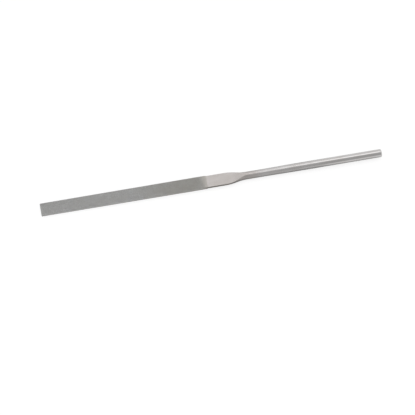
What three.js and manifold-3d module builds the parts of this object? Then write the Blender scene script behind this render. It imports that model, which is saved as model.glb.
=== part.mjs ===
// Flat needle file with an electroplated diamond coat, 140 mm long.
//
// Units are millimetres. The file lies along X with its tip towards -X and its butt towards +X. Its two wide
// faces look towards +Z and -Z. The origin is on the centre line, half way along the file.
//
// The tool has three constituents: one piece of steel (blade, shoulder, neck and grip), a nickel layer
// plated over the blade, and one layer of diamond grains that the nickel holds.

import * as THREE from "three";
import { mergeVertices } from "three/addons/utils/BufferGeometryUtils.js";
import Module from "manifold-3d";

const wasm = await Module();
wasm.setup();

// Driving dimensions of the whole file.
const TOTAL_LENGTH = 140;
const COATED_LENGTH = 67.2;

// Steel sections.
const BLADE_THICKNESS = 1.1;
const TIP_WIDTH = 5;
const SHOULDER_WIDTH = 5.3;
const NECK_DIAMETER = 3.1;
const GRIP_DIAMETER = 3.3;

// The blade narrows and thickens into the round neck, and the neck swells into the grip, between these
// distances from the tip.
const NARROWING = { from: 74.4, to: 84.2 };
const THICKENING = { from: 75.6, to: 85.6 };
const SWELLING = { from: 92, to: 106 };
const BUTT_EDGE_RADIUS = 0.45;

// The plated coat: nickel first, then the height by which the diamond grains stand out of it.
const NICKEL_THICKNESS = 0.11;
const GRAIN_EXPOSURE = 0.07;
// The nickel runs a little past the last grains at the masked edge.
const NICKEL_OVERRUN = 0.4;

// Facets round the turned surfaces, and along each blending curve.
const ROUND_SEGMENTS = 48;
const BLEND_SEGMENTS = 14;
const EDGE_SEGMENTS = 4;

// How far the tools that cut a surface run past the steel.
const CUT_CLEARANCE = 1;

// Places along X.
const TIP_X = -TOTAL_LENGTH / 2;
const BUTT_X = TOTAL_LENGTH / 2;
const COAT_THICKNESS = NICKEL_THICKNESS + GRAIN_EXPOSURE;
const STEEL_TIP_X = TIP_X + COAT_THICKNESS;
const GRAIN_END_X = TIP_X + COATED_LENGTH;
const NICKEL_END_X = GRAIN_END_X + NICKEL_OVERRUN;
const NARROWING_START_X = TIP_X + NARROWING.from;
const NARROWING_END_X = TIP_X + NARROWING.to;
const THICKENING_START_X = TIP_X + THICKENING.from;
const THICKENING_END_X = TIP_X + THICKENING.to;
const SWELLING_START_X = TIP_X + SWELLING.from;
const SWELLING_END_X = TIP_X + SWELLING.to;

const NECK_RADIUS = NECK_DIAMETER / 2;
const GRIP_RADIUS = GRIP_DIAMETER / 2;

// Solids ------------------------------------------------------------------------------------------

function solidFrom(geometry) {
  const bare = geometry.index ? geometry.toNonIndexed() : geometry.clone();
  bare.deleteAttribute("normal");
  bare.deleteAttribute("uv");
  const merged = mergeVertices(bare, 1e-4);
  const mesh = new wasm.Mesh({
    numProp: 3,
    vertProperties: merged.attributes.position.array,
    triVerts: new Uint32Array(merged.index.array),
  });
  return new wasm.Manifold(mesh);
}

function geometryFrom(solid) {
  const mesh = solid.getMesh();
  const geometry = new THREE.BufferGeometry();
  geometry.setAttribute("position", new THREE.BufferAttribute(mesh.vertProperties, 3));
  geometry.setIndex(new THREE.BufferAttribute(mesh.triVerts, 1));
  geometry.computeVertexNormals();
  return geometry;
}

function namedMesh(name, solid, material) {
  const mesh = new THREE.Mesh(geometryFrom(solid), material);
  mesh.name = name;
  return mesh;
}

// Curves ------------------------------------------------------------------------------------------

// An S-shaped blend that leaves and arrives level, from (x0, r0) to (x1, r1).
function blendPoints(x0, r0, x1, r1) {
  const middle = (x0 + x1) / 2;
  const curve = new THREE.CubicBezierCurve(
    new THREE.Vector2(x0, r0),
    new THREE.Vector2(middle, r0),
    new THREE.Vector2(middle, r1),
    new THREE.Vector2(x1, r1),
  );
  return curve.getPoints(BLEND_SEGMENTS);
}

// A quarter-round edge that turns from the cylinder wall onto the flat end face at endX.
function roundedEdgePoints(endX, radius, edgeRadius) {
  const arc = new THREE.EllipseCurve(
    endX - edgeRadius, radius - edgeRadius, edgeRadius, edgeRadius, Math.PI / 2, 0, true,
  );
  return arc.getPoints(EDGE_SEGMENTS);
}

// The steel blade is straight-edged and a little wider at the shoulder than at the tip.
function bladeHalfWidth(x) {
  const share = (x - STEEL_TIP_X) / (NARROWING_START_X - STEEL_TIP_X);
  return THREE.MathUtils.lerp(TIP_WIDTH, SHOULDER_WIDTH, share) / 2;
}

// Steel blank -------------------------------------------------------------------------------------

// The turned bar: everything on the blank stays inside this solid of revolution.
function turnedBar() {
  const corner = Math.hypot(SHOULDER_WIDTH / 2, BLADE_THICKNESS / 2);
  const outline = [
    new THREE.Vector2(STEEL_TIP_X, 0),
    new THREE.Vector2(STEEL_TIP_X, corner),
    ...blendPoints(NARROWING_START_X, corner, NARROWING_END_X, NECK_RADIUS),
    ...blendPoints(SWELLING_START_X, NECK_RADIUS, SWELLING_END_X, GRIP_RADIUS),
    ...roundedEdgePoints(BUTT_X, GRIP_RADIUS, BUTT_EDGE_RADIUS),
    new THREE.Vector2(BUTT_X, 0),
  ];
  const profile = outline.map((point) => new THREE.Vector2(point.y, point.x));
  const lathe = new THREE.LatheGeometry(profile, ROUND_SEGMENTS);
  return solidFrom(lathe.rotateZ(-Math.PI / 2));
}

// Seen from above: the two ground edges of the blade. Past the shoulder this block clears the turned bar.
function edgeGrind() {
  const outline = new THREE.Shape([
    new THREE.Vector2(STEEL_TIP_X, -bladeHalfWidth(STEEL_TIP_X)),
    new THREE.Vector2(NARROWING_START_X, -bladeHalfWidth(NARROWING_START_X)),
    new THREE.Vector2(BUTT_X + CUT_CLEARANCE, -bladeHalfWidth(NARROWING_START_X)),
    new THREE.Vector2(BUTT_X + CUT_CLEARANCE, bladeHalfWidth(NARROWING_START_X)),
    new THREE.Vector2(NARROWING_START_X, bladeHalfWidth(NARROWING_START_X)),
    new THREE.Vector2(STEEL_TIP_X, bladeHalfWidth(STEEL_TIP_X)),
  ]);
  const depth = SHOULDER_WIDTH;
  const block = new THREE.ExtrudeGeometry(outline, { depth, bevelEnabled: false });
  return solidFrom(block.translate(0, 0, -depth / 2));
}

// Seen from the side: the two flat faces, which rise and run out on the round neck.
function faceGrind() {
  const clear = GRIP_RADIUS + CUT_CLEARANCE;
  const upper = [
    ...blendPoints(THICKENING_START_X, BLADE_THICKNESS / 2, THICKENING_END_X, NECK_RADIUS),
    new THREE.Vector2(THICKENING_END_X, clear),
    new THREE.Vector2(BUTT_X + CUT_CLEARANCE, clear),
  ];
  const lower = upper.map((point) => new THREE.Vector2(point.x, -point.y)).reverse();
  const outline = new THREE.Shape([
    new THREE.Vector2(STEEL_TIP_X - CUT_CLEARANCE, -BLADE_THICKNESS / 2),
    new THREE.Vector2(STEEL_TIP_X - CUT_CLEARANCE, BLADE_THICKNESS / 2),
    ...upper,
    ...lower,
  ]);
  const depth = SHOULDER_WIDTH + 2 * CUT_CLEARANCE;
  const block = new THREE.ExtrudeGeometry(outline, { depth, bevelEnabled: false });
  return solidFrom(block.translate(0, 0, -depth / 2).rotateX(Math.PI / 2));
}

function steelBlank() {
  const solid = turnedBar().intersect(edgeGrind()).intersect(faceGrind());
  const material = new THREE.MeshStandardMaterial({ color: 0xc2bdba, roughness: 0.35, metalness: 1 });
  return namedMesh("steel_blank", solid, material);
}

// Plated coat -------------------------------------------------------------------------------------

// The blade grown by a plated thickness on its faces, edges and tip, and cut off square at endX.
function grownBlade(thickness, endX) {
  const startX = STEEL_TIP_X - thickness;
  const outline = new THREE.Shape([
    new THREE.Vector2(startX, -bladeHalfWidth(startX) - thickness),
    new THREE.Vector2(endX, -bladeHalfWidth(endX) - thickness),
    new THREE.Vector2(endX, bladeHalfWidth(endX) + thickness),
    new THREE.Vector2(startX, bladeHalfWidth(startX) + thickness),
  ]);
  const depth = BLADE_THICKNESS + 2 * thickness;
  const block = new THREE.ExtrudeGeometry(outline, { depth, bevelEnabled: false });
  return solidFrom(block.translate(0, 0, -depth / 2));
}

// The nickel sits straight on the steel, as a sleeve that is closed at the tip.
function nickelBond() {
  const outside = grownBlade(NICKEL_THICKNESS, NICKEL_END_X);
  const steel = grownBlade(0, NICKEL_END_X + CUT_CLEARANCE);
  const material = new THREE.MeshStandardMaterial({ color: 0xa8a49c, roughness: 0.45, metalness: 1 });
  return namedMesh("nickel_bond", outside.subtract(steel), material);
}

// The layer in which the grains stand proud of the nickel, as one skin at their mean height.
function diamondGrit() {
  const outside = grownBlade(COAT_THICKNESS, GRAIN_END_X);
  const nickel = grownBlade(NICKEL_THICKNESS, GRAIN_END_X + CUT_CLEARANCE);
  const material = new THREE.MeshStandardMaterial({ color: 0x949390, roughness: 0.85, metalness: 0.3 });
  return namedMesh("diamond_grit", outside.subtract(nickel), material);
}

const needleFile = new THREE.Group();
needleFile.add(steelBlank());
needleFile.add(nickelBond());
needleFile.add(diamondGrit());

export default needleFile;
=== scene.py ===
"""Flat diamond-coated needle file: the visual model, a plain studio and the camera.

The steel body, the nickel plating and the diamond coat are three closed meshes. Each is a loft: rings of
points, one behind the other along X, whose first and last ring are zipped shut. Shapes are worked out in
millimetres in the frame's own axes, and scaled to metres when a mesh is made.
"""

import math

import bpy
import numpy as np
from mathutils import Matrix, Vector


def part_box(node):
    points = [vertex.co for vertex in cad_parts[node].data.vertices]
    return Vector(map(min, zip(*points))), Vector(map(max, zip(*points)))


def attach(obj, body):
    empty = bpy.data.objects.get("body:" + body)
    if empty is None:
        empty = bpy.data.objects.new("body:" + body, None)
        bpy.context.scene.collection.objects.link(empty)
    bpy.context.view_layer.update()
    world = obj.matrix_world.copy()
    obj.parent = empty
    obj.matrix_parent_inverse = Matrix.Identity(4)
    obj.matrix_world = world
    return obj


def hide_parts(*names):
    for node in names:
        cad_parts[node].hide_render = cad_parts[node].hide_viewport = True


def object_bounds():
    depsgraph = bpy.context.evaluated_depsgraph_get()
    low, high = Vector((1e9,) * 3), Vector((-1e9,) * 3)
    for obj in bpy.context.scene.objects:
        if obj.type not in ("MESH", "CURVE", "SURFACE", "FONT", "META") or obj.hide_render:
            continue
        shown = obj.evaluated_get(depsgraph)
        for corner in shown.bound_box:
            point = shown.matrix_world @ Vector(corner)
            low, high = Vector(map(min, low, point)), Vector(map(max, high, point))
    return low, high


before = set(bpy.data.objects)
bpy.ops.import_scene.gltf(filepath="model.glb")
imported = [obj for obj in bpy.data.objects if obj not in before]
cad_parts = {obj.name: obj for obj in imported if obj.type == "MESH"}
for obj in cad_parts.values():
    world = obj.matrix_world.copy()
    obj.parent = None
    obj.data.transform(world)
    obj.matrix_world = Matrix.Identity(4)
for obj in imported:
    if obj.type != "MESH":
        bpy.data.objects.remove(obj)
cad_low, cad_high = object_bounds()

MM = 0.001
SEED = 20

# The steel's outline, in millimetres, as in the CAD model, and how far its ground edges are broken.
NARROWING_FROM_TIP = (74.4, 84.2)
THICKENING_FROM_TIP = (75.6, 85.6)
SWELLING_FROM_TIP = (92, 106)
BUTT_EDGE_RADIUS = 0.45
EDGE_BREAK = 0.05

# How finely the steel is divided: points in a ring, and rings in each of its stretches.
STEEL_RING = 120
SHOULDER_RINGS = 12
BLEND_RINGS = 90
NECK_RINGS = 40
GRIP_RINGS = 44
BUTT_RINGS = 9
# The shoulder's rings start this far inside the coat.
SHOULDER_LEAD = 1
# Points in a ground outline before they are shared out, and steps in an S-shaped blend.
OUTLINE_POINTS = 2400
CURVE_STEPS = 200
STEEL_SHARP_ANGLE = math.radians(40)
# CAD points within this distance of a place along X count as being at that place.
PLACE_TOLERANCE = 0.05
NEVER_ZERO = 1e-9

# An edge counts as worn bright between these two curvatures, in radians to the millimetre.
WORN_CURVATURE = (1.2, 8)
BUTT_WEAR = 0.5

# The plated coat: a lattice of grains, with peaks and valleys at these heights above the nickel.
GRAIN_PITCH = 0.1
GRAIN_JITTER = 0.036
GRAIN_VALLEY = (0.015, 0.055)
GRAIN_PEAK = (0.065, 0.12)
CLUSTERED_SHARE = 0.2
# On the tip face the heights come from a square grid of cells of this size.
TIP_GRAIN = 0.13
TIP_CELLS = 64
# The share by which a point is scaled, and not just cut off, as it moves in on the tip face.
DRAWN_IN_SHARE = 0.15
# Over the last stretch before the heel the grains thin out to this share, and bare nickel shows.
THINNING_LENGTH = 4.4
THINNEST_SHARE = 0.12
BARE_SMOOTHNESS = 0.6
HEEL_RAGGEDNESS = 0.05
COAT_RING = 128
COAT_EDGE_RADIUS = 0.12
POCKET_EDGE_RADIUS = 0.05
FIT_GAP = 0.003

# The nickel: rings with fine nodules on the margin that shows, and only a few over its hidden tip, at these
# distances from the middle of the tip face.
NICKEL_NODULES = 0.012
NICKEL_MARGIN = 2.4
NICKEL_TIP_RINGS = (0.1, 0.3, 0.5, 0.55, 0.6, 0.65, 0.7)
# At the very end the nickel drops by this share of its thickness.
NICKEL_EDGE_DROP = 0.7
NICKEL_SHARP_ANGLE = math.radians(50)

# The camera is placed to match the photo's outline. Its elevation is assumed, and the blade's thickness and
# width depend on it. Offsets and span are shares of the frame's width.
CAMERA_AZIMUTH = math.radians(-11.08)
CAMERA_ELEVATION = math.radians(60)
CAMERA_LENS = 150
CAMERA_CLIP = (0.01, 100)
SENSOR_WIDTH = 36
FRAME_WIDTH = 167.4
OBJECT_RIGHT_OF_CENTRE = 0.0124
OBJECT_ABOVE_CENTRE = 0.0633

# Noise features to the millimetre along X, Y and Z. Most noise lies between the two levels.
NOISE_LEVELS = (0.3, 0.7)
STREAKS_PER_MM = (0.4, 16, 16)
SMUDGES_PER_MM = (0.25, 0.4, 0.4)
DEPOSIT_PER_MM = (6, 6, 6)
GRAINS_PER_MM = (9, 9, 9)
PATCHES_PER_MM = (0.5, 0.7, 0.7)

# Steel finishes: streaks run between the dark and the pale colour. The shares say how far a smudge stains
# the steel, and how far an edge is worn bright.
SATIN_DARK, SATIN_PALE = (0.453, 0.426, 0.415, 1), (0.514, 0.487, 0.476, 1)
POLISH_DARK, POLISH_PALE = (0.515, 0.503, 0.5, 1), (0.595, 0.583, 0.58, 1)
# The first of these three is painted shade: the colour of the shoulder's side faces, darker for the shade
# they lie in.
SIDE_FACE_SHADE, STAIN, WORN = (0.34, 0.31, 0.29, 1), (0.42, 0.39, 0.36, 1), (0.64, 0.62, 0.6, 1)
# A face counts as a side face, painted darker as shade, or as an end face, between these squares of its
# normal along Y or X.
SHADED_SIDE_NORMAL = (0.5, 1)
END_NORMAL = (0.9, 1)
STAIN_SHARE = 0.3
WORN_SHARE = 0.6
SATIN_ROUGHNESS = 0.35
POLISH_ROUGHNESS = 0.06
# The grip grows smoother from the neck to this far from the butt.
SMOOTHEST_FROM_BUTT = 10
STREAK_ROUGHNESS = (-0.04, 0.04)
SMUDGE_ROUGHNESS = (-0.02, 0.06)
WORN_SMOOTHNESS = 0.08
SCRATCH_DEPTH = 0.004
SCRATCH_STRENGTH = 0.25
# Lathe marks on the butt: the wave's scale to the millimetre, and how far its rings are disturbed.
TURNING_RINGS = 3
TURNING_DISTORTION = 0.6

# Nickel finish.
NICKEL_DARK, NICKEL_PALE = (0.36, 0.345, 0.32, 1), (0.50, 0.48, 0.45, 1)
NICKEL_ROUGHNESS = (0.34, 0.5)
DEPOSIT_DEPTH = 0.01
DEPOSIT_STRENGTH = 0.4

# Coat finish: grains stand out of the bond, whose colour is nickel painted darker with the shade between
# grains. It is paler where the nickel is bare, as bare nickel and as less painted shade.
GRAIN_DARK, GRAIN_PALE = (0.375, 0.375, 0.373, 1), (0.54, 0.54, 0.538, 1)
BOND_AND_SHADE, BARE_BOND, DARK_WARM_TONE = (0.235, 0.234, 0.230, 1), (0.46, 0.44, 0.41, 1), (0.30, 0.29, 0.265, 1)
GRAIN_ROUGHNESS = (0.42, 0.7)
# The bond gives way to grain, and metal to diamond, between these shares of the highest peak.
GRAIN_SHOWS = (0.1, 0.75)
METAL_FADES = (0.1, 0.5)
# The bond's metalness, which falls to nothing up the grains, and its growth where the nickel is bare.
BOND_METALNESS = 0.5
BARE_METALNESS_GROWTH = 2
# The grit is darker and warmer, more and more, between these distances from the heel, up to this share.
DARKENING_FROM_HEEL = (30, 11)
DARKENING_SHARE = 0.56
PATCH_DARKENING = 0.25

# Light, as radiance. The studio is a white tent. Mirror-like reflections also see a dimmer patch round the
# camera, and a softbox overhead. Elevations and angles are in degrees.
TENT_LIGHT = 1.0
DIM_LIGHT = 0.55
DIM_ELEVATION = 40
DIM_INNER_ANGLE = 15
DIM_OUTER_ANGLE = 65
SOFTBOX_LIGHT = 0.7
SOFTBOX_ELEVATION = 103
SOFTBOX_INNER_ANGLE = 8
SOFTBOX_OUTER_ANGLE = 20

# The floor, and how bright the metal sees it, as a painted reflection: dimmer beside the blade than beside
# the butt, painted shade, and dimmer close to the object, a painted shadow. It lightens between the two
# distances from the butt.
FLOOR_SIZE = 4000
FLOOR_COLOUR = (0.3, 0.3, 0.3, 1)
FLOOR_GLOW = 0.75
FLOOR_BESIDE_BLADE = 0.65
FLOOR_BESIDE_BUTT = 1.0
FLOOR_LIGHTENS_FROM_BUTT = (30, 14)
FLOOR_SHADOW_REACH = 8
FLOOR_SHADOW_POWER = 1.6
FLOOR_SHADOW_SAMPLES = 8


# Sizes read from the frame, in millimetres -----------------------------------------------------------


def cad_points(node):
    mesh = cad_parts[node].data
    points = np.zeros(len(mesh.vertices) * 3)
    mesh.vertices.foreach_get("co", points)
    return points.reshape(-1, 3) / MM


def cad_radius(node, from_x, to_x):
    """How far the CAD node's points between two places along X reach from the centre line."""
    points = cad_points(node)
    within = points[(points[:, 0] >= from_x - PLACE_TOLERANCE) & (points[:, 0] <= to_x + PLACE_TOLERANCE)]
    return np.hypot(within[:, 1], within[:, 2]).max()


steel_low, steel_high = (np.array(corner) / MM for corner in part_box("steel_blank"))
nickel_low, nickel_high = (np.array(corner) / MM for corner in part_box("nickel_bond"))
grit_low, grit_high = (np.array(corner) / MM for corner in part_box("diamond_grit"))

TIP_X, STEEL_TIP_X, BUTT_X = grit_low[0], steel_low[0], steel_high[0]
GRIT_HEEL_X, NICKEL_HEEL_X = grit_high[0], nickel_high[0]
NARROWING_START, NARROWING_END = (TIP_X + distance for distance in NARROWING_FROM_TIP)
THICKENING_START, THICKENING_END = (TIP_X + distance for distance in THICKENING_FROM_TIP)
SWELLING_START, SWELLING_END = (TIP_X + distance for distance in SWELLING_FROM_TIP)

NICKEL_THICKNESS = STEEL_TIP_X - nickel_low[0]
BLADE_HALF_THICKNESS = nickel_high[2] - NICKEL_THICKNESS
SHOULDER_HALF_WIDTH = steel_high[1]
TIP_CORNER = cad_radius("steel_blank", STEEL_TIP_X, STEEL_TIP_X)
TIP_HALF_WIDTH = math.sqrt(TIP_CORNER**2 - BLADE_HALF_THICKNESS**2)
NECK_RADIUS = cad_radius("steel_blank", THICKENING_END, SWELLING_START)
GRIP_RADIUS = cad_radius("steel_blank", SWELLING_END, BUTT_X)


# Outlines --------------------------------------------------------------------------------------------


def s_curve(x, start, end):
    """From 0 to 1 along an S-shaped blend that leaves and arrives level."""
    t = np.linspace(0, 1, CURVE_STEPS)
    along_x = 1.5 * t * (1 - t) + t**3
    return np.interp((x - start) / (end - start), along_x, t * t * (3 - 2 * t))


def blade_half_width(x):
    share = (x - STEEL_TIP_X) / (NARROWING_START - STEEL_TIP_X)
    return TIP_HALF_WIDTH + (SHOULDER_HALF_WIDTH - TIP_HALF_WIDTH) * np.minimum(share, 1)


def turned_radius(x):
    """The turned bar that the blade and shoulder are ground from."""
    corner = math.hypot(SHOULDER_HALF_WIDTH, BLADE_HALF_THICKNESS)
    return corner + (NECK_RADIUS - corner) * s_curve(x, NARROWING_START, NARROWING_END)


def ground_half_thickness(x):
    rise = NECK_RADIUS - BLADE_HALF_THICKNESS
    return BLADE_HALF_THICKNESS + rise * s_curve(x, THICKENING_START, THICKENING_END)


def grip_radius(x):
    return NECK_RADIUS + (GRIP_RADIUS - NECK_RADIUS) * s_curve(x, SWELLING_START, SWELLING_END)


def rounded_rectangle(share, half_width, half_thickness, radius):
    """Points and outward normals, as y and z, at these shares of the way round from +Y towards +Z."""
    quarter = np.floor(share * 4)
    within = share * 4 - quarter
    within = np.where(quarter % 2 == 1, 1 - within, within)
    side, top = half_thickness - radius, half_width - radius
    travelled = within * (side + top + radius * math.pi / 2)
    turned = np.clip((travelled - side) / radius, 0, math.pi / 2)
    past_corner = np.maximum(travelled - side - radius * math.pi / 2, 0)
    y = top + radius * np.cos(turned) - past_corner
    z = np.minimum(travelled, side) + radius * np.sin(turned)
    y_sign = np.where((quarter == 1) | (quarter == 2), -1, 1)
    z_sign = np.where(quarter >= 2, -1, 1)
    return y * y_sign, z * z_sign, np.cos(turned) * y_sign, np.sin(turned) * z_sign


def softened(outline, reach):
    """Rounds the corners of a closed outline of complex points by averaging it along its own length."""
    length = np.concatenate([[0], np.cumsum(np.abs(np.roll(outline, -1) - outline))])
    even = np.linspace(0, length[-1], len(outline), endpoint=False)
    outline = np.interp(even, length, np.append(outline, outline[0]))
    frequency = np.fft.fftfreq(len(outline), length[-1] / len(outline))
    return np.fft.ifft(np.fft.fft(outline) * np.exp(-2 * (math.pi * frequency * reach) ** 2))


def shared_out(outline, count):
    """This many points of a closed outline, shared out half by its length and half by how far it turns."""
    step = np.roll(outline, -1) - outline
    turn = np.abs(np.angle(step / np.roll(step, 1)))
    length = np.concatenate([[0], np.cumsum(np.abs(step))])
    turning = np.concatenate([[0], np.cumsum((turn + np.roll(turn, -1)) / 2)])
    place = (length / length[-1] + turning / turning[-1]) / 2
    return np.interp(np.arange(count) / count, place, np.append(outline, outline[0]))


# Lofts -----------------------------------------------------------------------------------------------


def loft_faces(rings, ring_size, crossed):
    """Triangles between neighbouring rings. Where crossed is true, a cell is split on its other diagonal."""
    row, column = np.mgrid[0 : rings - 1, 0:ring_size]
    a = row * ring_size + column
    b = row * ring_size + (column + 1) % ring_size
    c, d = a + ring_size, b + ring_size
    plain = np.stack([a, b, c, c, b, d], axis=-1)
    other = np.stack([a, b, d, a, d, c], axis=-1)
    return np.where(crossed[..., None], other, plain).reshape(-1, 3)


def zipped(ring_size, first):
    """Fills a ring with strips that join each of its upper points to the one below it."""
    i = np.arange(ring_size // 2)
    here, there = first + i, first + i + 1
    here_below = first + (ring_size - i) % ring_size
    there_below = first + ring_size - i - 1
    right = np.stack([here, there, there_below], axis=-1)[:-1]
    left = np.stack([here, there_below, here_below], axis=-1)[1:]
    return np.concatenate([right, left])


def make_loft(name, points, crossed=None):
    """One closed mesh from points with the shape (rings, points in a ring, 3), in millimetres."""
    rings, ring_size = points.shape[:2]
    if crossed is None:
        crossed = np.zeros((rings - 1, ring_size), bool)
    start, end = zipped(ring_size, 0)[:, ::-1], zipped(ring_size, (rings - 1) * ring_size)
    faces = np.concatenate([loft_faces(rings, ring_size, crossed), start, end])
    mesh = bpy.data.meshes.new(name)
    mesh.from_pydata((points * MM).reshape(-1, 3), [], faces)
    piece = bpy.data.objects.new(name, mesh)
    bpy.context.scene.collection.objects.link(piece)
    return piece


def smooth_shaded(piece, sharp_angle):
    piece.data.shade_smooth()
    piece.data.set_sharp_from_angle(angle=sharp_angle)
    return piece


def set_attribute(piece, name, values):
    attribute = piece.data.attributes.new(name, "FLOAT", "POINT")
    attribute.data.foreach_set("value", values.astype(np.float32).ravel())


def ring(x, outline):
    return np.stack([np.full(len(outline), x), outline.real, outline.imag], axis=-1)


# Steel body ------------------------------------------------------------------------------------------


def ground_ring(x):
    """The turned bar cut by its two ground edges and two ground faces, with its edges broken."""
    angle = 2 * math.pi * np.arange(OUTLINE_POINTS) / OUTLINE_POINTS
    cos, sin = np.abs(np.cos(angle)) + NEVER_ZERO, np.abs(np.sin(angle)) + NEVER_ZERO
    reach = np.minimum(blade_half_width(x) / cos, ground_half_thickness(x) / sin)
    outline = np.minimum(reach, turned_radius(x)) * np.exp(1j * angle)
    return ring(x, shared_out(softened(outline, EDGE_BREAK), STEEL_RING))


def round_ring(x, radius):
    return ring(x, radius * np.exp(2j * math.pi * np.arange(STEEL_RING) / STEEL_RING))


def butt_rings():
    """The quarter-round edge that turns from the grip onto the flat butt."""
    turned = np.linspace(0, math.pi / 2, BUTT_RINGS)
    edge_x = BUTT_X - BUTT_EDGE_RADIUS * (1 - np.sin(turned))
    edge_radius = GRIP_RADIUS - BUTT_EDGE_RADIUS * (1 - np.cos(turned))
    return [round_ring(x, radius) for x, radius in zip(edge_x, edge_radius)]


def ground_rings():
    """The hidden blade, the bare shoulder and its blend into the neck."""
    blade = [STEEL_TIP_X, GRIT_HEEL_X - SHOULDER_LEAD]
    shoulder_start = NICKEL_HEEL_X - SHOULDER_LEAD
    shoulder = np.linspace(shoulder_start, NARROWING_START, SHOULDER_RINGS, endpoint=False)
    blend = np.linspace(NARROWING_START, THICKENING_END, BLEND_RINGS, endpoint=False)
    return [ground_ring(x) for x in (*blade, *shoulder, *blend)]


def turned_rings():
    """The neck and the grip, up to the rounded edge of the butt."""
    neck = np.linspace(THICKENING_END, SWELLING_END, NECK_RINGS, endpoint=False)
    grip = np.linspace(SWELLING_END, BUTT_X - BUTT_EDGE_RADIUS, GRIP_RINGS, endpoint=False)
    return [round_ring(x, grip_radius(x)) for x in (*neck, *grip)]


def curvature(points):
    """How sharply each ring turns at each of its points, in radians to the millimetre."""
    outline = points[..., 1] + 1j * points[..., 2]
    after = np.roll(outline, -1, axis=1) - outline
    before = np.roll(after, 1, axis=1)
    return np.angle(after / before) * 2 / (np.abs(after) + np.abs(before))


def edge_wear(points):
    """From 0 on a flat to 1 on a sharp edge. The butt's rounded edge and its face count as half worn."""
    low, high = WORN_CURVATURE
    worn = np.clip((curvature(points) - low) / (high - low), 0, 1)
    worn[1 - BUTT_RINGS :] = BUTT_WEAR
    return worn


def steel_body():
    points = np.array(ground_rings() + turned_rings() + butt_rings())
    piece = make_loft("steel_body", points)
    set_attribute(piece, "worn", edge_wear(points))
    return smooth_shaded(piece, STEEL_SHARP_ANGLE)


# Plated coat -----------------------------------------------------------------------------------------


def drawn_in(value, full, inset):
    """value held within full - inset, and scaled down a little as well, so that no two points meet."""
    limit = full - inset
    return DRAWN_IN_SHARE * value * limit / full + (1 - DRAWN_IN_SHARE) * np.clip(value, -limit, limit)


def skin_rings(distance, share, outset, edge_radius, lift=0):
    """Points of a skin round the blade, outset from the steel and then lifted along its own normal.

    distance runs from the middle of the tip face outwards, round the edge, and back along the blade."""
    half_thickness = BLADE_HALF_THICKNESS + outset
    face = half_thickness - edge_radius
    turned = np.clip((distance - face) / edge_radius, 0, math.pi / 2)
    past_edge = np.maximum(distance - face - edge_radius * math.pi / 2, 0)
    x = STEEL_TIP_X - outset + edge_radius * (1 - np.cos(turned)) + past_edge
    inset = half_thickness - np.minimum(distance, face) - edge_radius * np.sin(turned)
    half_width = blade_half_width(x) + outset
    y, z, normal_y, normal_z = rounded_rectangle(share, half_width, half_thickness, edge_radius)
    y, z = drawn_in(y, half_width, inset), drawn_in(z, half_thickness, inset)
    side_lift = lift * np.sin(turned)
    points = x - lift * np.cos(turned), y + side_lift * normal_y, z + side_lift * normal_z
    return np.stack(np.broadcast_arrays(*points), axis=-1)


def skin_length(heel_x, outset, edge_radius):
    """The distance, as skin_rings counts it, at which a skin reaches heel_x."""
    face = BLADE_HALF_THICKNESS + outset - edge_radius
    return heel_x - (STEEL_TIP_X - outset + edge_radius) + face + edge_radius * math.pi / 2


def pocket_rings(heel_x, outset):
    """The inside of a sleeve, from its heel forward to the flat that fits over the tip."""
    share = np.arange(COAT_RING) / COAT_RING
    heel = skin_length(heel_x, outset, POCKET_EDGE_RADIUS)
    tip = BLADE_HALF_THICKNESS + outset - POCKET_EDGE_RADIUS
    return skin_rings(np.array([[heel], [tip]]), share, outset, POCKET_EDGE_RADIUS)


def grain_heights(peak, bare, random):
    """Heights of the lattice points above the nickel: fewer grains and smoother valleys where it is bare."""
    held = random.random(peak.shape) < 1 - bare + THINNEST_SHARE
    valley = random.uniform(*GRAIN_VALLEY, peak.shape) * (1 - BARE_SMOOTHNESS * bare)
    return np.where(peak & held, random.uniform(*GRAIN_PEAK, peak.shape), valley)


def tip_grain_heights(distance, share, random):
    """Heights for the tip face, from a square grid of cells, because the rings crowd together there."""
    smooth = skin_rings(distance, share, NICKEL_THICKNESS, COAT_EDGE_RADIUS)
    cells = random.uniform(GRAIN_VALLEY[0], GRAIN_PEAK[1], (TIP_CELLS, TIP_CELLS))
    y, z = np.floor(smooth[..., 1:] / TIP_GRAIN).astype(int).T % TIP_CELLS
    return cells[y, z].T


def diamond_coat():
    """The grit as one skin: peaks and valleys take turns on a lattice, and each point is moved at random."""
    random = np.random.default_rng(SEED + 1)
    length = skin_length(GRIT_HEEL_X, NICKEL_THICKNESS, COAT_EDGE_RADIUS)
    rows = round(length / GRAIN_PITCH)
    row, column = np.mgrid[0:rows, 0:COAT_RING]
    peak = (row + column) % 2 == 0
    distance = (row + 0.5) * length / rows + random.uniform(-GRAIN_JITTER, GRAIN_JITTER, row.shape)
    bare = 1 - np.clip((length - distance) / THINNING_LENGTH, 0, 1)
    lift = grain_heights(peak, bare, random)
    distance[-1] = length + random.uniform(-HEEL_RAGGEDNESS, 0, COAT_RING)
    round_blade = 4 * (TIP_HALF_WIDTH + BLADE_HALF_THICKNESS)
    moved = random.uniform(-GRAIN_JITTER, GRAIN_JITTER, row.shape) / round_blade
    share = (column / COAT_RING + moved) % 1
    on_tip_face = distance < BLADE_HALF_THICKNESS + NICKEL_THICKNESS - COAT_EDGE_RADIUS
    lift = np.where(on_tip_face, tip_grain_heights(distance, share, random), lift)
    outside = skin_rings(distance, share, NICKEL_THICKNESS, COAT_EDGE_RADIUS, lift)

    points = np.concatenate([outside, pocket_rings(GRIT_HEEL_X, NICKEL_THICKNESS + FIT_GAP)])
    inside_rows = (0, len(points) - rows), (0, 0)
    parted = np.pad(~peak, inside_rows)[:-1]
    clustered = random.random(parted.shape) < CLUSTERED_SHARE
    piece = make_loft("diamond_coat", points, parted ^ clustered)
    set_attribute(piece, "height", np.pad(lift / GRAIN_PEAK[1], inside_rows))
    set_attribute(piece, "bare", np.pad(bare, inside_rows))
    return piece


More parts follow.
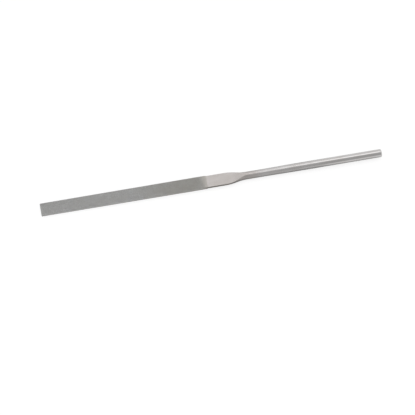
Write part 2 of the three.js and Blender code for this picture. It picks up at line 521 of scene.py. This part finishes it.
def nickel_plating():
    """The nickel under the grit, with fine nodules. Only a margin at the heel shows."""
    random = np.random.default_rng(SEED + 2)
    length = skin_length(NICKEL_HEEL_X, NICKEL_THICKNESS, COAT_EDGE_RADIUS)
    margin = np.linspace(length - NICKEL_MARGIN, length, round(NICKEL_MARGIN / GRAIN_PITCH))
    distance = np.array([*NICKEL_TIP_RINGS, length / 2, *margin])[:, None] + np.zeros(COAT_RING)
    lift = -NICKEL_NODULES * random.random(distance.shape)
    lift[-1] = -NICKEL_THICKNESS * NICKEL_EDGE_DROP
    distance[-2:] += random.uniform(-HEEL_RAGGEDNESS, 0, (2, COAT_RING))
    share = np.arange(COAT_RING) / COAT_RING
    outside = skin_rings(distance, share, NICKEL_THICKNESS, COAT_EDGE_RADIUS, lift)
    points = np.concatenate([outside, pocket_rings(NICKEL_HEEL_X - 2 * HEEL_RAGGEDNESS, FIT_GAP)])
    return smooth_shaded(make_loft("nickel_plating", points), NICKEL_SHARP_ANGLE)


# Material nodes --------------------------------------------------------------------------------------


def feed(tree, node, inputs):
    """Feeds a node's inputs. Each is fed by another node's output, or by a plain value."""
    for name, value in inputs.items():
        if isinstance(value, bpy.types.NodeSocket):
            tree.links.new(value, node.inputs[name])
        else:
            node.inputs[name].default_value = value


def add(tree, kind, inputs, **settings):
    made = tree.nodes.new("ShaderNode" + kind)
    for name, value in settings.items():
        setattr(made, name, value)
    feed(tree, made, inputs)
    return made


def new_material(name):
    material = bpy.data.materials.new(name)
    material.use_nodes = True
    return material, material.node_tree, material.node_tree.nodes["Principled BSDF"]


def noise(tree, per_mm, detail=3, roughness=0.55):
    """Noise from 0 to 1 with this many features to the millimetre along X, Y and Z."""
    place = add(tree, "TexCoord", {}).outputs["Object"]
    scale = [count / MM for count in per_mm]
    scaled = add(tree, "Mapping", {"Vector": place, "Scale": scale}).outputs["Vector"]
    settings = {"Vector": scaled, "Scale": 1, "Detail": detail, "Roughness": roughness}
    return add(tree, "TexNoise", settings).outputs["Fac"]


def mapped(tree, value, low, high, from_low=NOISE_LEVELS[0], from_high=NOISE_LEVELS[1]):
    """value carried from one range to another and held there."""
    settings = {"Value": value, "From Min": from_low, "From Max": from_high, "To Min": low, "To Max": high}
    return add(tree, "MapRange", settings, interpolation_type="SMOOTHSTEP").outputs["Result"]


def mixed(tree, share, first, second):
    """One colour or value changing into another. A Mix node's two colour inputs are numbers 6 and 7."""
    made = add(tree, "Mix", {}, data_type="RGBA")
    feed(tree, made, {0: share, 6: first, 7: second})
    return made.outputs[2]


def combined(tree, operation, first, second):
    return add(tree, "Math", {0: first, 1: second}, operation=operation).outputs[0]


def squared(tree, value):
    return combined(tree, "MULTIPLY", value, value)


def along(tree, kind, axis):
    """One coordinate of the place, or of the normal, in the frame's own axes."""
    return add(tree, "SeparateXYZ", {"Vector": add(tree, "TexCoord", {}).outputs[kind]}).outputs[axis]


def from_end(end_x, distances):
    """Two places along X, in metres, at these distances short of an end."""
    return [(end_x - distance) * MM for distance in distances]


def attribute(tree, name):
    return add(tree, "Attribute", {}, attribute_name=name).outputs["Fac"]


# Materials -------------------------------------------------------------------------------------------


def steel_colour(tree, place, streaks, smudges, worn):
    """Satin on the shoulder, with its side faces painted darker as shade, and paler polish on the neck and
    grip.
    """
    polished = mapped(tree, place, 0, 1, THICKENING_END * MM, SWELLING_START * MM)
    # Painted shade: the shoulder's side faces, which face along Y, are painted darker.
    sideways = mapped(tree, squared(tree, along(tree, "Normal", "Y")), 0, 1, *SHADED_SIDE_NORMAL)
    before_neck = mapped(tree, place, 1, 0, NARROWING_START * MM, NARROWING_END * MM)
    edge = combined(tree, "MULTIPLY", sideways, before_neck)
    satin = mixed(tree, mapped(tree, streaks, 0, 1), SATIN_DARK, SATIN_PALE)
    polish = mixed(tree, mapped(tree, streaks, 0, 1), POLISH_DARK, POLISH_PALE)
    clean = mixed(tree, polished, mixed(tree, edge, satin, SIDE_FACE_SHADE), polish)
    stained = mixed(tree, mapped(tree, smudges, 0, STAIN_SHARE), clean, STAIN)
    return mixed(tree, mapped(tree, worn, 0, WORN_SHARE, 0, 1), stained, WORN)


def steel_roughness(tree, place, streaks, smudges, worn):
    smoothing = THICKENING_END * MM, (BUTT_X - SMOOTHEST_FROM_BUTT) * MM
    finish = mapped(tree, place, SATIN_ROUGHNESS, POLISH_ROUGHNESS, *smoothing)
    streaked = mapped(tree, streaks, *STREAK_ROUGHNESS)
    smudged = mapped(tree, smudges, *SMUDGE_ROUGHNESS)
    roughness = combined(tree, "ADD", combined(tree, "ADD", streaked, smudged), finish)
    return combined(tree, "SUBTRACT", roughness, mapped(tree, worn, 0, WORN_SMOOTHNESS, 0, 1))


def turning_marks(tree):
    """Fine rings about the X axis, as a lathe leaves them on an end face."""
    place = add(tree, "TexCoord", {}).outputs["Object"]
    wave = {"Vector": place, "Scale": TURNING_RINGS / MM, "Distortion": TURNING_DISTORTION, "Detail": 2}
    return add(tree, "TexWave", wave, wave_type="RINGS", rings_direction="X").outputs["Fac"]


def steel_scratches(tree, streaks):
    """Lengthwise scratches everywhere except on the end faces, which have turning marks."""
    end_face = mapped(tree, squared(tree, along(tree, "Normal", "X")), 0, 1, *END_NORMAL)
    marks = mixed(tree, end_face, streaks, turning_marks(tree))
    bump = {"Height": marks, "Strength": SCRATCH_STRENGTH, "Distance": SCRATCH_DEPTH * MM}
    return add(tree, "Bump", bump).outputs["Normal"]


def satin_steel():
    """Steel ground lengthwise to a satin and polished on the grip, with faint smudges and worn edges."""
    material, tree, surface = new_material("satin_steel")
    place = along(tree, "Object", "X")
    streaks = noise(tree, STREAKS_PER_MM, detail=4)
    smudges = noise(tree, SMUDGES_PER_MM)
    worn = attribute(tree, "worn")
    feed(tree, surface, {
        "Base Color": steel_colour(tree, place, streaks, smudges, worn),
        "Roughness": steel_roughness(tree, place, streaks, smudges, worn),
        "Normal": steel_scratches(tree, streaks),
        "Metallic": 1,
    })
    return material


def dull_nickel():
    """Plated nickel, with the fine uneven grey of a bath deposit."""
    material, tree, surface = new_material("dull_nickel")
    deposit = noise(tree, DEPOSIT_PER_MM, detail=4)
    bump = {"Height": deposit, "Strength": DEPOSIT_STRENGTH, "Distance": DEPOSIT_DEPTH * MM}
    feed(tree, surface, {
        "Base Color": mixed(tree, mapped(tree, deposit, 0, 1), NICKEL_DARK, NICKEL_PALE),
        "Roughness": mapped(tree, deposit, *NICKEL_ROUGHNESS),
        "Normal": add(tree, "Bump", bump).outputs["Normal"],
        "Metallic": 1,
    })
    return material


def darkening_share(tree, bare):
    """A darker, warmer tone towards the heel and in patches, but not where the nickel is bare."""
    reach = from_end(GRIT_HEEL_X, DARKENING_FROM_HEEL)
    towards_heel = mapped(tree, along(tree, "Object", "X"), 0, DARKENING_SHARE, *reach)
    patches = mapped(tree, noise(tree, PATCHES_PER_MM), 0, PATCH_DARKENING)
    covered = mapped(tree, bare, 1, 0, 0, 1)
    return combined(tree, "MULTIPLY", combined(tree, "ADD", towards_heel, patches), covered)


def bond_metalness(tree, height, bare):
    in_bond = mapped(tree, height, BOND_METALNESS, 0, *METAL_FADES)
    return combined(tree, "MULTIPLY", in_bond, mapped(tree, bare, 1, BARE_METALNESS_GROWTH, 0, 1))


def diamond_grit():
    """Pale grains in a metal bond painted darker with the shade between grains, darker and warmer towards
    the heel.
    """
    material, tree, surface = new_material("diamond_grit")
    height, bare = attribute(tree, "height"), attribute(tree, "bare")
    each_grain = noise(tree, GRAINS_PER_MM, detail=1)
    grain = mixed(tree, mapped(tree, each_grain, 0, 1), GRAIN_DARK, GRAIN_PALE)
    # The bond's colour is partly painted shade: dark where grains crowd, paler where the nickel is bare.
    bond_and_shade = mixed(tree, mapped(tree, bare, 0, 1, 0, 1), BOND_AND_SHADE, BARE_BOND)
    clean = mixed(tree, mapped(tree, height, 0, 1, *GRAIN_SHOWS), bond_and_shade, grain)
    feed(tree, surface, {
        "Base Color": mixed(tree, darkening_share(tree, bare), clean, DARK_WARM_TONE),
        "Roughness": mapped(tree, each_grain, *GRAIN_ROUGHNESS),
        "Metallic": bond_metalness(tree, height, bare),
    })
    return material


def finish_piece(piece, material, node):
    piece.data.materials.append(material)
    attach(piece, "root")
    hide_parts(node)


# Studio ----------------------------------------------------------------------------------------------


def direction(azimuth, elevation):
    """The way from the object to a place at this azimuth and elevation. Azimuth 0 is on the -Y side."""
    level = math.cos(elevation)
    return Vector((math.sin(azimuth) * level, -math.cos(azimuth) * level, math.sin(elevation)))


def patch(tree, elevation, inner_angle, outer_angle, light):
    """A round patch of the surroundings, straight above the camera's own azimuth, that fades out to 0."""
    towards = add(tree, "TexCoord", {}).outputs["Generated"]
    centre = direction(CAMERA_AZIMUTH, math.radians(elevation))
    facing = add(tree, "VectorMath", {0: towards, 1: centre}, operation="DOT_PRODUCT").outputs["Value"]
    edges = math.cos(math.radians(outer_angle)), math.cos(math.radians(inner_angle))
    return mapped(tree, facing, 0, light, *edges)


def studio_light():
    """A white tent. Only mirror-like reflections see the two patches, so matt surfaces are lit evenly."""
    world = bpy.data.worlds.new("studio")
    bpy.context.scene.world = world
    world.use_nodes = True
    tree = world.node_tree
    glossy = add(tree, "LightPath", {}).outputs["Is Glossy Ray"]
    dim = patch(tree, DIM_ELEVATION, DIM_INNER_ANGLE, DIM_OUTER_ANGLE, TENT_LIGHT - DIM_LIGHT)
    softbox = patch(tree, SOFTBOX_ELEVATION, SOFTBOX_INNER_ANGLE, SOFTBOX_OUTER_ANGLE, SOFTBOX_LIGHT)
    patches = combined(tree, "MULTIPLY", combined(tree, "SUBTRACT", softbox, dim), glossy)
    strength = combined(tree, "ADD", patches, TENT_LIGHT)
    feed(tree, tree.nodes["Background"], {"Strength": strength, "Color": (1, 1, 1, 1)})


def floor_in_metal(tree):
    """How bright mirror-like reflections see the floor, painted as a glow: dim close to the object, a
    painted shadow, and beside the blade, painted shade.
    """
    reach = {"Distance": FLOOR_SHADOW_REACH * MM}
    open_sky = add(tree, "AmbientOcclusion", reach, samples=FLOOR_SHADOW_SAMPLES).outputs["AO"]
    lightens = from_end(BUTT_X, FLOOR_LIGHTENS_FROM_BUTT)
    lit = mapped(tree, along(tree, "Object", "X"), FLOOR_BESIDE_BLADE, FLOOR_BESIDE_BUTT, *lightens)
    return combined(tree, "MULTIPLY", combined(tree, "POWER", open_sky, FLOOR_SHADOW_POWER), lit)


def floor_material():
    """Pale matt floor that shows more dimly in the metal's reflections, as a painted reflection."""
    material, tree, surface = new_material("pale_floor")
    feed(tree, surface, {
        "Base Color": FLOOR_COLOUR,
        "Roughness": 1,
        "Specular IOR Level": 0,
        "Emission Color": (1, 1, 1, 1),
        "Emission Strength": FLOOR_GLOW,
    })
    reflected = add(tree, "Emission", {"Strength": floor_in_metal(tree)}).outputs["Emission"]
    glossy = add(tree, "LightPath", {}).outputs["Is Glossy Ray"]
    either = add(tree, "MixShader", {"Fac": glossy, 1: surface.outputs["BSDF"], 2: reflected})
    feed(tree, tree.nodes["Material Output"], {"Surface": either.outputs["Shader"]})
    return material


def make_floor():
    """A floor tilted by half a degree, on which the file rests by its tip and by the front of its grip."""
    tip = Vector((TIP_X, 0, -BLADE_HALF_THICKNESS - NICKEL_THICKNESS - GRAIN_PEAK[1]))
    grip = Vector((SWELLING_END, 0, -GRIP_RADIUS))
    slope = (grip - tip).normalized()
    across = Vector((0, 1, 0))
    corners = [tip + (slope * i + across * j) * FLOOR_SIZE for i, j in ((-1, -1), (1, -1), (1, 1), (-1, 1))]
    mesh = bpy.data.meshes.new("floor")
    mesh.from_pydata([corner * MM for corner in corners], [], [(0, 1, 2, 3)])
    mesh.materials.append(floor_material())
    floor = bpy.data.objects.new("floor", mesh)
    bpy.context.scene.collection.objects.link(floor)


def make_camera():
    data = bpy.data.cameras.new("camera")
    data.lens, data.sensor_width = CAMERA_LENS, SENSOR_WIDTH
    data.clip_start, data.clip_end = CAMERA_CLIP
    camera = bpy.data.objects.new("camera", data)
    bpy.context.scene.collection.objects.link(camera)
    bpy.context.scene.camera = camera
    back = direction(CAMERA_AZIMUTH, CAMERA_ELEVATION)
    rotation = (-back).to_track_quat("-Z", "Y")
    right, up = rotation @ Vector((1, 0, 0)), rotation @ Vector((0, 1, 0))
    centre = (cad_low + cad_high) / 2
    width = FRAME_WIDTH * MM
    aim = centre - (right * OBJECT_RIGHT_OF_CENTRE + up * OBJECT_ABOVE_CENTRE) * width
    camera.rotation_mode = "QUATERNION"
    camera.rotation_quaternion = rotation
    camera.location = aim + back * width * CAMERA_LENS / SENSOR_WIDTH


finish_piece(steel_body(), satin_steel(), "steel_blank")
finish_piece(nickel_plating(), dull_nickel(), "nickel_bond")
finish_piece(diamond_coat(), diamond_grit(), "diamond_grit")
studio_light()
make_floor()
make_camera()
bpy.context.scene.view_settings.view_transform = "Standard"
